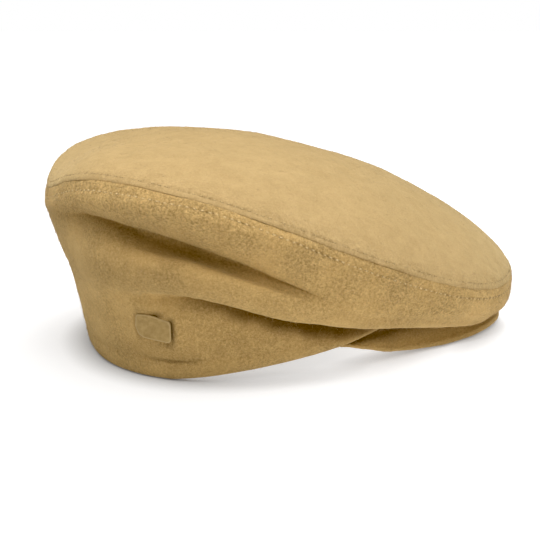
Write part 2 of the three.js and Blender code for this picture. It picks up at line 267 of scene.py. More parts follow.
def folded(G, n, arc, a, t, wider=1.0):
    """A face of the side panel with its creases pinched in."""
    along = np.gradient(G, axis=0)
    along = unit(along)
    out = G.copy()
    for fold in FOLDS.values():
        w = fold["wide"] * wider
        deep = fold_deep(fold, a)[None]
        d = (arc - fold_line(fold, arc, a, t)) / w
        cusp = np.exp(-np.sqrt(d * d + 0.02))* 1.15
        share = deep / 6.5
        out -= n * (deep * cusp)[..., None]
        slide = share * (fold["rise"] * np.exp(-(d / 1.3) ** 2) - fold["pinch"] * wider * d * np.exp(0.5 - d * d / 2))
        out += along * slide[..., None]
    return out


# ------------------------------------------------------------------ mesh making
def to_world(p):
    return (np.asarray(p, float) - CENTRE) / 1000.0


def add_mesh(name, verts, faces, smooth=True, **values):
    me = bpy.data.meshes.new(name)
    me.from_pydata(to_world(verts).tolist(), [], faces)
    me.validate()
    me.update()
    if smooth:
        me.polygons.foreach_set("use_smooth", np.ones(len(me.polygons), bool))
    for key, value in values.items():
        me.attributes.new(key, "FLOAT", "POINT").data.foreach_set("value", np.asarray(value, np.float32))
    ob = bpy.data.objects.new(name, me)
    bpy.context.scene.collection.objects.link(ob)
    return ob


def loft(loops, closed_run):
    """Quads between loops, array (runs, loop, 3), each loop closed on itself. Returns vertices and faces."""
    n, m = loops.shape[:2]
    verts = loops.reshape(-1, 3)
    i = np.arange(n if closed_run else n - 1)[:, None]
    j = np.arange(m)[None, :]
    a = i * m + j
    b = i * m + (j + 1) % m
    c = ((i + 1) % n) * m + (j + 1) % m
    d = ((i + 1) % n) * m + j
    return verts, np.stack([a, b, c, d], -1).reshape(-1, 4)


def outward(verts, faces):
    """The faces, turned so that they point out."""
    f = np.asarray(faces)
    a, b, c = verts[f[:, 0]], verts[f[:, 1]], verts[f[:, 2]]
    vol = np.einsum("ij,ij->i", a, np.cross(b, c)).sum()
    if f.shape[1] == 4:
        d = verts[f[:, 3]]
        vol += np.einsum("ij,ij->i", a, np.cross(c, d)).sum()
    return f[:, ::-1] if vol < 0 else f


# ------------------------------------------------------------------ the two panels
A = np.arange(AROUND) * 2 * np.pi / AROUND


def seam_frame(a):
    """Where the panels meet: point, way out through the cloth, way up from side to top, way along."""
    e = 1e-3
    s = side_surface(a, np.array([1 - e, 1.0]))
    t = top_surface(a, np.array([0.999]))
    s2 = side_surface(a + e, np.array([1.0]))[0] - side_surface(a - e, np.array([1.0]))[0]
    n_side = unit(np.cross(s2, s[1] - s[0]))
    t2 = top_surface(a + e, np.array([0.999]))[0] - top_surface(a - e, np.array([0.999]))[0]
    n_top = unit(np.cross(t2, t[0] - s[1])) * 1.0
    n_top = np.where((n_top * n_side).sum(-1, keepdims=True) < 0, -n_top, n_top)
    out = unit(n_side + n_top)
    along = unit(s2)
    upway = unit(np.cross(out, along))
    upway = upway * np.where((upway * (s[1] - s[0])).sum(-1, keepdims=True) < 0, -1, 1)
    # how hollow the corner between the two faces is: each face's slope away from the seam, out of the cloth
    slope_side = ((s[0] - s[1]) * out).sum(-1) / np.linalg.norm(s[0] - s[1], axis=-1)
    slope_top = ((t[0] - s[1]) * out).sum(-1) / np.linalg.norm(t[0] - s[1], axis=-1)
    return s[1], out, upway, along, np.clip((slope_side + slope_top) / 2, 0, 1)


SEAM_POINT, SEAM_OUT, SEAM_UPWAY, SEAM_ALONG, SEAM_HOLLOW = seam_frame(A)
SEAM_FILL = np.minimum(SEAM_HOLLOW * SEAM_LOOK["fill_wide"] * 0.75, SEAM_LOOK["fill_most"])
seam_step = np.linalg.norm(np.roll(SEAM_POINT, -1, 0) - SEAM_POINT, axis=-1)
SEAM_LENGTH = seam_step.sum()
SEAM_RUN = np.concatenate([[0], np.cumsum(seam_step)[:-1]])  # distance round the seam at each angle
N_STITCH = int(round(SEAM_LENGTH / STITCH["pitch"]))
PITCH = SEAM_LENGTH / N_STITCH


def panel_relief(p, dist, run, row, seed, strength=1.0):
    """How far a panel's face stands out, mm, at distance dist from the seam and run along it."""
    s = SEAM_LOOK
    h = -s["groove"] * bump(dist, 0, s["groove_wide"]) + SEAM_FILL[None] * np.exp(-((dist / s["fill_wide"]) ** 2))
    h = h + s["pillow"] * bump(dist, s["pillow_at"], s["pillow_wide"])
    phase = 2 * np.pi * run / PITCH
    near = bump(dist, row["off"], 1.1)
    h = h - row["dip"] * near * (0.55 + 0.45 * np.cos(phase))
    h = h - 0.10 * np.cos(phase + 0.6) * bump(dist, row["off"] / 2, row["off"] / 2)
    h = h + 0.16 * noise(p, 11, seed) * bump(dist, 3, 9) * strength
    # felt: soft hand of the cloth, then its nap
    h = h + 0.42 * noise(p, 55, seed + 1) + 0.16 * noise(p, 21, seed + 2)
    h = h + 0.09 * noise(p, 6.5, seed + 3) + 0.055 * noise(p, 4.0, seed + 4)
    return h


def needle_holes(dist, run, row, seed):
    """Where painted shade falls in the needle holes between the stitches of a row, plainer on some stretches than on
    others.
    """
    patch = np.clip(0.55 + 0.6 * noise(np.stack([run, dist * 0, dist * 0], -1), 34, seed), 0.15, 1)
    return patch * bump(dist, row["off"], 0.75) * np.clip((np.cos(2 * np.pi * run / PITCH) - 0.1) / 0.9, 0, 1)


def badge_frame():
    """The badge's middle (angle, place), mm per radian and per unit of place there, and its lean."""
    a0, t0, e = math.radians(BADGE["angle"]), BADGE["place"], 1e-3
    g = side_surface(np.array([a0 - e, a0 + e]), np.array([t0]))[0]
    q = side_surface(np.array([a0]), np.array([t0 - e, t0 + e]))[:, 0]
    return a0, t0, np.linalg.norm(g[1] - g[0]) / (2 * e), np.linalg.norm(q[1] - q[0]) / (2 * e), math.radians(BADGE["lean"])


def badge_place(a, t):
    """Places on the cloth in the badge's own axes (mm from its middle), and the distance out from its outline."""
    a0, t0, pa, pt, lean = badge_frame()
    da = (np.arctan2(np.sin(a - a0), np.cos(a - a0)) * pa)[None, :]
    dt = ((t - t0) * pt)[:, None]
    x = da * math.cos(lean) + dt * math.sin(lean)
    y = -da * math.sin(lean) + dt * math.cos(lean)
    out = np.full(np.broadcast(x, y).shape, -np.inf)
    for (x0, y0), (x1, y1) in zip(BADGE_EDGE, BADGE_EDGE[1:] + BADGE_EDGE[:1]):
        step = math.hypot(x1 - x0, y1 - y0)
        out = np.maximum(out, ((x - x0) * (y0 - y1) + (y - y0) * (x1 - x0)) / step)
    return x, y, out


def badge_lip(a, t):
    """The felt swells round the badge, which is pressed into it, most above it and in front of it."""
    x, y, out = badge_place(a, t)
    side = np.clip(0.5 + 0.5 * (y / 9 + x / 14), 0.15, 1)
    rise = np.clip((out - 0.1) / 1.7, 0, 1)
    return BADGE["lip"] * side * rise**2 * (3 - 2 * rise) * np.exp(-(np.maximum(out, 0) / 8.0) ** 2)


def hollow_share(arc, a, t, dist, run):
    """How much painted shade each point gets, 0 to 1: in and below the creases, along the seam and in its needle
    holes, round the badge, in the hem's crease and over some broader stretches.
    """
    patchiness = np.clip(0.5 + 0.8 * noise(np.stack([run, dist, dist * 0], -1), 26, 61), 0, 1)
    # painted shade along the seam's groove, stronger on some stretches than on others
    share = 0.22 * patchiness * bump(dist, 0, 0.9)
    x, y, out = badge_place(a, t)
    # painted shadow round the badge, most above it and in front of it
    share = share + 1.1 * bump(out, 0.75, 1.55) * np.clip(0.55 + 0.5 * (y / 7 + x / 12), 0.3, 1)
    # painted shade in each crease and on the cloth just below it
    for fold in FOLDS.values():
        d = arc - fold_line(fold, arc, a, t)
        below = np.clip((d + fold["dark_wide"] * (1 + 0.25 * patchiness)) / fold["dark_soft"] + 0.5, 0, 1)
        below = below * below * (3 - 2 * below) * np.clip((5 - d) / 3, 0, 1)
        share = share + below * fold["dark"] * fold_deep(fold, a)[None] / max(fold["deep"])
    deg = np.degrees(np.arctan2(np.sin(a), np.cos(a)))[None]
    # painted shade in the hem's crease near the badge
    share = share + 0.7 * bump(arc, HEM["high"], 0.9) * bump(deg, -124, 7)
    # painted shade: darker between the folds round the back, further from the seam, near the seam at the back, and
    # low by the hem on the near side towards the back
    far, low, high = (np.clip(v, 0, 1) for v in ((np.abs(deg) - 106) / 20, (t[:, None] - 0.27) / 0.12, (0.86 - t[:, None]) / 0.1))
    share = share + 0.24 * (far * low * high) ** 1.5 + 0.055 * (1 - bump(dist, 0, 17))
    share = share + 0.07 * bump(np.abs(deg), 180, 42) * bump(dist, 9, 12) + 0.24 * bump(deg, -138, 26) * bump(arc, 14, 7)
    # painted shade under the front of the roll
    share = share + 0.15 * np.clip((92 - np.abs(deg)) / 15, 0, 1) * np.clip((0.7 - t[:, None]) / 0.2, 0, 1)
    share = share + 0.15 * np.clip((60 - np.abs(deg)) / 25, 0, 1) * np.clip((0.93 - t[:, None]) / 0.22, 0, 1)
    # painted shade in the needle holes beside the seam
    return np.clip(share + 0.9 * needle_holes(dist, run, ROWS["side"], 63), 0, 1)


def make_side():
    # rows up the outer face: closer together at the hem, in the folds and at the seam
    t = np.unique(np.round(np.concatenate([
        np.linspace(0.0, 0.125, 19), np.linspace(0.125, 0.26, 9), np.linspace(0.26, 0.42, 26), np.linspace(0.42, 0.58, 12),
        np.linspace(0.58, 0.76, 34), np.linspace(0.76, 0.9, 12), np.linspace(0.9, 1.0, 21)]), 5))
    G = side_surface(A, t)
    arc = arc_up(G)
    G = folded(G, grid_normals(G), arc, A, t)
    n = grid_normals(G)
    length = arc[-1:]
    dist = length - arc
    turned = np.degrees(np.arccos(np.cos(A)))
    level = np.clip((turned - 95) / 25, 0, 1)
    level = (level**2 * (3 - 2 * level))[None] * np.clip(1 - t / 0.1, 0, 1)[:, None]
    n_in = n.copy()
    n_in[..., 2] *= 1 - level
    n_in = unit(n_in)
    n_in[-1] = SEAM_OUT
    run = np.broadcast_to(SEAM_RUN, dist.shape)
    h = panel_relief(G, dist, run, ROWS["side"], 11)
    h = h - HEM["dip"] * bump(arc, HEM["high"], HEM["wide"]) + 0.18 * bump(arc, HEM["high"] * 0.45, 3.0)
    h = h + badge_lip(A, t)
    calm = np.clip(arc / 3.0, 0, 1)  # the hem's edge keeps its line
    h = h * calm
    nn = n.copy()
    nn[-1] = SEAM_OUT
    outer = G + nn * h[..., None]
    # the rounded hem edge: the outermost millimetre and a bit turns round to the inside
    r = CLOTH / 2
    curl = np.clip(1 - arc / r, 0, 1)
    outer = outer - n_in * (r * (1 - np.sqrt(np.maximum(0, 1 - curl**2))))[..., None]
    # inner face
    ti = np.unique(np.round(np.concatenate([np.linspace(0, 0.06, 7), np.linspace(0.06, 0.92, 36), np.linspace(0.92, 1, 6)]), 5))
    Gi = side_surface(A, ti)
    arci = arc_up(Gi)
    Gi = folded(Gi, grid_normals(Gi), arci, A, ti, 2.0)
    ni = grid_normals(Gi)
    leveli = np.clip((turned - 95) / 25, 0, 1)
    leveli = (leveli**2 * (3 - 2 * leveli))[None] * np.clip(1 - ti / 0.1, 0, 1)[:, None]
    ni[..., 2] *= 1 - leveli
    ni = unit(ni)
    ni[-1] = SEAM_OUT
    thick = CLOTH + 0.9 * (1 - 1 / (1 + np.exp(-(arci - HEM["high"] - 1.0) / 0.5)))
    curli = np.clip(1 - arci / r, 0, 1)
    thick = thick - (thick - r) * (1 - np.sqrt(np.maximum(0, 1 - curli**2)))
    inner = Gi - ni * thick[..., None]
    for face in (outer, inner):
        face[-1] -= SEAM_UPWAY * 0.01
    loops = np.concatenate([outer, inner[::-1]], 0).transpose(1, 0, 2)
    v, f = loft(loops, True)
    # painted shade on the outer face; the inner face gets none
    hollow = np.concatenate([hollow_share(arc, A, t, dist, run), np.zeros(inner.shape[:2])], 0).T.reshape(-1)
    rough = (0.52 + 0.48 * bump(np.maximum(dist, 8), 8, 17)) * (1 + 0.4 * noise(G, 30, 66))
    rough = rough * (1 - 0.55 * np.clip((82 - turned) / 34, 0, 1)[None])
    rough = np.concatenate([np.clip(rough, 0.25, 1.2), np.full(inner.shape[:2], 0.4)], 0).T.reshape(-1)
    return add_mesh("side_cloth", v, outward(v, f).tolist(), hollow=hollow, nap=rough), outer, n


def make_top():
    # rows from the pole out to the seam
    e = np.linspace(0, 1, 72)
    r = np.sin(e * np.pi / 2) ** 0.9
    r = np.unique(np.round(np.concatenate([r[1:], np.linspace(0.93, 0.985, 14), 1 - np.geomspace(0.015, 0.00012, 22)]), 6))
    r = r[r >= 0.02]
    G = top_surface(A, r)
    n = up_normals(G)
    arc = arc_up(G)
    dist = arc[-1:] - arc
    n[-1] = SEAM_OUT
    run = np.broadcast_to(SEAM_RUN, dist.shape)
    h = panel_relief(G, dist, run, ROWS["top"], 31)
    pole_calm = np.clip(r / 0.1, 0, 1)[:, None]
    h = h * pole_calm + h[0].mean() * (1 - pole_calm)
    outer = G + n * h[..., None]
    ri = np.unique(np.round(np.concatenate([np.linspace(0.06, 0.9, 16), np.linspace(0.9, 0.99, 7), [0.996, 0.999, 1.0]]), 6))
    Gi = top_surface(A, ri)
    ni = up_normals(Gi)
    ni[-1] = SEAM_OUT
    inner = Gi - ni * CLOTH
    for face in (outer, inner):
        face[-1] += SEAM_UPWAY * 0.01
    loops = np.concatenate([outer, inner[::-1]], 0)  # from near the pole, out, and back under
    rows, m = loops.shape[:2]
    verts = loops.reshape(-1, 3)
    pole = top_surface(np.zeros(1), np.zeros(1))[0] + np.array([0, 0, h[0].mean()])
    under = top_surface(np.zeros(1), np.zeros(1))[0] - np.array([0, 0, CLOTH])
    verts = np.concatenate([verts, pole, under])
    i = np.arange(rows - 1)[:, None]
    j = np.arange(m)[None, :]
    quads = np.stack([i * m + j, i * m + (j + 1) % m, (i + 1) * m + (j + 1) % m, (i + 1) * m + j], -1).reshape(-1, 4)
    quads = outward(verts, quads)
    first = quads[0]
    jj = np.arange(m)
    a_, b_ = jj, (jj + 1) % m
    up_first = [[rows * m, int(x), int(y)] for x, y in zip(a_, b_)]
    last = (rows - 1) * m
    down = [[rows * m + 1, int(last + y), int(last + x)] for x, y in zip(a_, b_)]
    tri = np.array(up_first)
    va = verts[tri]
    if np.cross(va[:, 1] - va[:, 0], va[:, 2] - va[:, 0])[:, 2].sum() < 0:
        up_first = [[p, y, x] for p, x, y in up_first]
    tri = np.array(down)
    va = verts[tri]
    if np.cross(va[:, 1] - va[:, 0], va[:, 2] - va[:, 0])[:, 2].sum() > 0:
        down = [[p, y, x] for p, x, y in down]
    patchiness = np.clip(0.5 + 0.8 * noise(np.stack([run, dist, dist * 0], -1), 26, 61), 0, 1)
    turned = np.degrees(np.arccos(np.cos(A)))[None]
    # painted shade: along the seam, stronger on some stretches; near the seam round the back; in the needle holes
    shade = 0.2 * patchiness * bump(dist, 0, 0.9) + 0.06 * bump(turned, 180, 40) * bump(dist, 0, 6) + 0.6 * needle_holes(dist, run, ROWS["top"], 64)
    hollow = np.concatenate([np.clip(shade, 0, 1).reshape(-1), np.zeros(inner[..., 0].size + 2)])
    rough = 0.11 + (0.5 + 0.39 * patchiness) * bump(dist, 2.5, 7.5)
    rough = np.concatenate([rough.reshape(-1), np.full(inner[..., 0].size + 2, 0.1)])
    return add_mesh("top_cloth", verts, quads.tolist() + up_first + down, hollow=hollow, nap=rough), outer, n


# ------------------------------------------------------------------ stitches
def make_stitches(name, surface, normal, dist, off, sunk, seed):
    """A row of stitches on a panel at distance off from the seam: one rounded bead of thread each."""
    rng = np.random.default_rng(seed)
    around = surface.shape[1]
    # the row's line: where each column reaches the wanted distance
    line, line_n = np.zeros((around, 3)), np.zeros((around, 3))
    for j in range(around):
        d = dist[:, j]
        order = np.argsort(d)
        for c in range(3):
            line[j, c] = np.interp(off, d[order], surface[order, j, c])
            line_n[j, c] = np.interp(off, d[order], normal[order, j, c])
    line_n = unit(line_n)
    run = np.concatenate([SEAM_RUN, [SEAM_LENGTH]])
    line = np.vstack([line, line[:1]])
    line_n = np.vstack([line_n, line_n[:1]])

    def at(s):
        s = s % SEAM_LENGTH
        return (np.stack([np.interp(s, run, line[:, c]) for c in range(3)], -1),
                unit(np.stack([np.interp(s, run, line_n[:, c]) for c in range(3)], -1)))

    K, SIDES = 9, 8
    v_all, f_all, base = [], [], 0
    u = np.linspace(-1, 1, K)
    for i in range(N_STITCH):
        centre = (i + 0.5 + rng.uniform(-0.05, 0.05)) * PITCH
        half = STITCH["long"] / 2 * rng.uniform(0.93, 1.05)
        lean = rng.uniform(-0.2, 0.2)
        lost = 0.3 * rng.uniform(0, 1) ** 2  # how far it has sunk into the nap
        p, n = at(centre + u * half)
        along = unit(np.gradient(p, axis=0))
        side = unit(np.cross(n, along))
        radius = STITCH["thick"] / 2 * np.sqrt(np.maximum(0, 1 - (0.97 * u) ** 4))
        p = p + n * ((0.5 - u**2) * 0.42 * STITCH["thick"] - sunk - lost)[:, None] + side * (lean * u)[:, None]
        ang = np.arange(SIDES) * 2 * np.pi / SIDES
        ring = (p[:, None] + side[:, None] * (np.cos(ang)[None, :, None] * radius[:, None, None])
                + n[:, None] * (np.sin(ang)[None, :, None] * radius[:, None, None] * 0.8))
        ends = np.stack([p[0], p[-1]])
        v_all.append(np.concatenate([ring.reshape(-1, 3), ends]))
        for k in range(K - 1):
            for j in range(SIDES):
                j2 = (j + 1) % SIDES
                f_all.append([base + k * SIDES + j, base + k * SIDES + j2, base + (k + 1) * SIDES + j2, base + (k + 1) * SIDES + j])
        e0, e1 = base + K * SIDES, base + K * SIDES + 1
        for j in range(SIDES):
            j2 = (j + 1) % SIDES
            f_all.append([e0, base + j2, base + j])
            f_all.append([e1, base + (K - 1) * SIDES + j, base + (K - 1) * SIDES + j2])
        base += K * SIDES + 2
    v = np.concatenate(v_all)
    # painted shade: each stitch darkens towards its ends, where the thread dives into the cloth
    one = np.concatenate([np.repeat(1 - np.abs(u) ** 1.8, SIDES), [0.0, 0.0]])
    return add_mesh(name, v, f_all, shade=np.tile(one, N_STITCH))


# ------------------------------------------------------------------ loose fibres
def make_fuzz(name, grid, normal, count, long, lift, seed, weight=None, thick=0.075):
    """Short curly fibres that stand out of the felt: thin three-sided spikes with a bend, rooted in the cloth."""
    rng = np.random.default_rng(seed)
    nxt = np.roll(grid, -1, 1)
    across, upward = nxt - grid, np.roll(grid, -1, 0) - grid
    area = np.linalg.norm(np.cross(across, upward), axis=-1)[:-1]
    if weight is not None:
        area = area * weight[:-1]
    cum = np.cumsum(area.reshape(-1))
    pick = np.searchsorted(cum, rng.uniform(0, cum[-1], count))
    i, j = pick // grid.shape[1], pick % grid.shape[1]
    j2 = (j + 1) % grid.shape[1]
    u, v = rng.uniform(0, 1, (2, count, 1))
    root = (grid[i, j] * (1 - u) + grid[i, j2] * u) * (1 - v) + (grid[i + 1, j] * (1 - u) + grid[i + 1, j2] * u) * v
    n = unit(normal[i, j])
    e1 = unit(np.cross(n, rng.normal(size=(count, 3))))
    e2 = np.cross(n, e1)
    length = rng.uniform(*long, (count, 1))
    rise = rng.uniform(*lift, (count, 1)) * length
    curl = rng.normal(0, 0.55, (count, 1))
    p0 = root - n * 0.12
    p1 = root + e1 * length * 0.5 + n * rise
    p2 = root + (e1 * np.cos(curl) + e2 * np.sin(curl)) * length + n * rise * rng.uniform(0.3, 1.4, (count, 1))
    along = unit(p2 - p0)
    s1 = unit(np.cross(along, n))
    s2 = np.cross(along, s1)
    ang = np.arange(3) * 2 * np.pi / 3
    ring = s1[:, None] * np.cos(ang)[None, :, None] + s2[:, None] * np.sin(ang)[None, :, None]
    verts = np.concatenate([p0[:, None] + ring * thick / 2, p1[:, None] + ring * thick * 0.42, p2[:, None]], 1)
    low = verts[..., 2].min(1, keepdims=True)
    verts[..., 2] = np.maximum(verts[..., 2], 0.02 + 0.1 * (verts[..., 2] - low))  # none goes under the rim's level
    base = (np.arange(count) * 7)[:, None]
    faces = []
    for k in range(3):
        k2 = (k + 1) % 3
        faces.append(np.concatenate([base + k, base + k2, base + 3 + k2], 1))
        faces.append(np.concatenate([base + k, base + 3 + k2, base + 3 + k], 1))
        faces.append(np.concatenate([base + 3 + k, base + 3 + k2, base + 6], 1))
    faces = np.concatenate(faces)
    shade = np.repeat(rng.uniform(0, 1, count), 7)
    return add_mesh(name, verts.reshape(-1, 3), faces.tolist(), shade=shade)


# ------------------------------------------------------------------ peak
def make_peak():
    RUN = 240
    u = np.linspace(-1, 1, RUN + 1)
    a = np.radians(u * PEAK["half_angle"])
    inner = oval(RIM, a)
    mid = np.array([(RIM["front"] + RIM["back"]) / 2, 0.0])
    inner = inner - unit(inner - mid) * PEAK["tuck"]
    inner = np.c_[inner, rim_up(a) - PEAK["drop"]]
    rows = np.array(PEAK_EDGE)
    whole = np.concatenate([rows[:0:-1] * [1, -1, 1, 1], rows])
    outer = spline_weights(np.linspace(-1, 1, len(whole)), u) @ whole
    arch, outer = outer[:, 3:], outer[:, :3]
    end = np.clip((np.abs(u) - 0.78) / 0.22, 0, 1)
    T = (PEAK["thick"] + (PEAK["thin"] - PEAK["thick"]) * end**2 * (3 - 2 * end))[:, None]
    way = outer - inner
    way[:, 2] = 0
    way = unit(way)
    share = np.linspace(0, 1, 26)
    up = np.array([0, 0, 1.0])
    # the plate slopes down to its edge, whose half circle is turned with it
    centre = outer - way * T * 0.5 + up * T / 2
    slope = np.arctan2(inner[:, 2] - centre[:, 2] - T[:, 0] / 2, ((centre - inner) * way).sum(-1))[:, None]
    face, away = up * np.cos(slope) + way * np.sin(slope), way * np.cos(slope) - up * np.sin(slope)
    face_end = centre + face * T / 2
    top = []
    for v in share:
        p = inner + (face_end - inner) * v
        w = v ** PEAK["fall"]
        p = p + up * arch * (1 - math.cos(2 * math.pi * w)) / 2
        top.append(p)
    edge = []
    for ph in np.linspace(np.pi / 2, -np.pi / 2, 16)[1:-1]:
        edge.append(centre + away * (T / 2 * math.cos(ph)) + face * (T / 2 * math.sin(ph)))
    bottom = [p - face * T for p in top[::-1]]
    # the hem by which the peak is sewn in stands up inside the head ring
    stand = np.clip((1 - np.abs(u)) / 0.05, 0, 1)[:, None]
    rise, deep = up * PEAK["hem"] * stand, way * (0.3 + (PEAK["hem_thick"] - 0.3) * stand)
    hem_in = [inner - deep - face * T * 0.8, inner - deep + rise * 0.1, inner - deep + rise * 0.5, inner - deep + rise * 0.85,
              inner - deep * 0.8 + rise, inner - deep * 0.25 + rise]
    hem_out = [inner + rise * 0.86, inner + rise * 0.5, inner + rise * 0.15]
    loops = np.stack(hem_out + top + edge + bottom + hem_in, 1)  # (run, loop, 3)
    # nap of the cloth
    n = grid_normals(loops.transpose(1, 0, 2), 1.0).transpose(1, 0, 2)
    n = unit(np.cross(np.gradient(loops, axis=0), np.roll(loops, -1, 1) - np.roll(loops, 1, 1)))
    mid_line = loops.mean(1, keepdims=True)
    out_ok = np.sign(((loops - mid_line) * n).sum(-1, keepdims=True).mean())
    n = n * out_ok
    ends = np.clip((1 - np.abs(u)) / 0.06, 0, 1)[:, None]
    h = (0.10 * noise(loops, 16, 51) + 0.05 * noise(loops, 5, 52) + 0.03 * noise(loops, 2.8, 53)) * ends
    loops = loops + n * (h - 0.05)[..., None]
    # painted shade on the peak's upper face: dark over the part next to the crown, fading out before its edge
    hollow = np.zeros(loops.shape[:2])
    hollow[:, len(hem_out) : len(hem_out) + len(share)] = 0.88 * np.clip((0.93 - share) / 0.30, 0, 1)
    v, f = loft(loops, False)
    m = loops.shape[1]
    caps = []
    v = np.concatenate([v, loops[0].mean(0)[None], loops[-1].mean(0)[None]])
    c0, c1 = len(v) - 2, len(v) - 1
    f = outward(v, f)
    last = RUN * m
    # which way round a cap goes follows the first strip of side faces
    q = f[0].tolist()
    forward = (0 in q and 1 in q) and (q[(q.index(0) + 1) % 4] == 1)
    for j in range(m):
        j2 = (j + 1) % m
        caps.append([c0, j2, j] if forward else [c0, j, j2])
        caps.append([c1, last + j, last + j2] if forward else [c1, last + j2, last + j])
    ob = add_mesh("peak_cloth", v, f.tolist() + caps, hollow=np.concatenate([hollow.reshape(-1), [0.0, 0.0]]),
                  nap=np.full(len(v), 0.6))
    return ob, loops.transpose(1, 0, 2), n.transpose(1, 0, 2)


# ------------------------------------------------------------------ badge
def make_badge():
    a0, t0, pa, pt, lean = badge_frame()
    e = 1e-3

    def lay(x, y, lift):
        x, y, lift = np.broadcast_arrays(x, y, lift)
        shape = x.shape
        x, y, lift = x.ravel(), y.ravel(), lift.ravel()
        out = np.zeros((len(x), 3))
        for i in range(len(x)):
            xr, yr = x[i] * math.cos(lean) - y[i] * math.sin(lean), x[i] * math.sin(lean) + y[i] * math.cos(lean)
            aa, tt = np.array([a0 + xr / pa]), np.array([t0 + yr / pt])
            p = side_surface(np.array([aa[0] - e, aa[0], aa[0] + e]), np.array([tt[0] - e, tt[0], tt[0] + e]))
            n = unit(np.cross(p[1, 2] - p[1, 0], p[2, 1] - p[0, 1]))
            out[i] = p[1, 1] + n * lift[i]
        return out.reshape(shape + (3,))

    # outline with evenly spaced points and slightly rounded corners
    corners = np.array(BADGE_EDGE)
    pts = []
    for i in range(len(corners)):
        p, q = corners[i], corners[(i + 1) % len(corners)]
        L = np.linalg.norm(q - p)
        k = max(4, int(round(L / 0.42)))
        pts += [p + (q - p) * j / k for j in range(k)]
    line = np.array(pts)
    for _ in range(3):
        line = (np.roll(line, 1, 0) + line * 2 + np.roll(line, -1, 0)) / 4
    T, g = BADGE["thick"], BADGE["gap"]
    # (inset from the outline mm, height): over the face, round the edge and back under
    prof = [(5.9, T), (4.6, T), (3.4, T), (2.5, T), (2.0, T), (1.5, T), (1.2, T - 0.01), (0.95, T - 0.04),
            (0.75, T - 0.09), (0.55, T - 0.16), (0.38, T - 0.25), (0.22, T - 0.36), (0.1, T - 0.5), (0.02, T - 0.66), (0.0, T * 0.4),
            (0.05, 0.15), (0.2, 0.02), (0.6, 0.0), (2.0, 0.0), (4.0, 0.0), (5.9, 0.0)]
    rings = []
    centre = (line.max(0) + line.min(0)) / 2
    span = (line.max(0) - line.min(0)) / 2
    for inset, z in prof:
        q = centre + (line - centre) * np.maximum((span - inset) / span, 0.02)
        rings.append(lay(q[:, 0], q[:, 1], np.full(len(q), g + z)))
    # painted highlight on the face next to its rounded edge
    edge = np.array([0.55 * bump(inset, 0.45, 0.4) if z > T * 0.3 else 0.0 for inset, z in prof])
    loops = np.stack(rings)  # (profile, outline, 3)
    k, m = loops.shape[:2]
    v = loops.reshape(-1, 3)
    i = np.arange(k - 1)[:, None]
    j = np.arange(m)[None, :]
    quads = np.stack([i * m + j, i * m + (j + 1) % m, (i + 1) * m + (j + 1) % m, (i + 1) * m + j], -1).reshape(-1, 4)
    top_c, low_c = lay(0.0, 0.0, g + T)[None], lay(0.0, 0.0, g)[None]
    v = np.concatenate([v, top_c.reshape(1, 3), low_c.reshape(1, 3)])
    mid = v.mean(0)
    quads = outward(v - mid, quads)
    q = quads[0].tolist()
    forward = q[(q.index(0) + 1) % 4] == 1
    caps = []
    for jj in range(m):
        j2 = (jj + 1) % m
        caps.append([k * m, j2, jj] if forward else [k * m, jj, j2])
        lo = (k - 1) * m
        caps.append([k * m + 1, lo + jj, lo + j2] if forward else [k * m + 1, lo + j2, lo + jj])
    return add_mesh("badge_leather_plate", v, quads.tolist() + caps, edge=np.concatenate([np.repeat(edge, m), [0.0, 0.0]]))


# ------------------------------------------------------------------ materials
def new_material(name):
    m = bpy.data.materials.new(name)
    m.use_nodes = True
    nt = m.node_tree
    nt.nodes.clear()
    out = nt.nodes.new("ShaderNodeOutputMaterial")
    b = nt.nodes.new("ShaderNodeBsdfPrincipled")
    nt.links.new(b.outputs[0], out.inputs[0])
    return m, nt, b


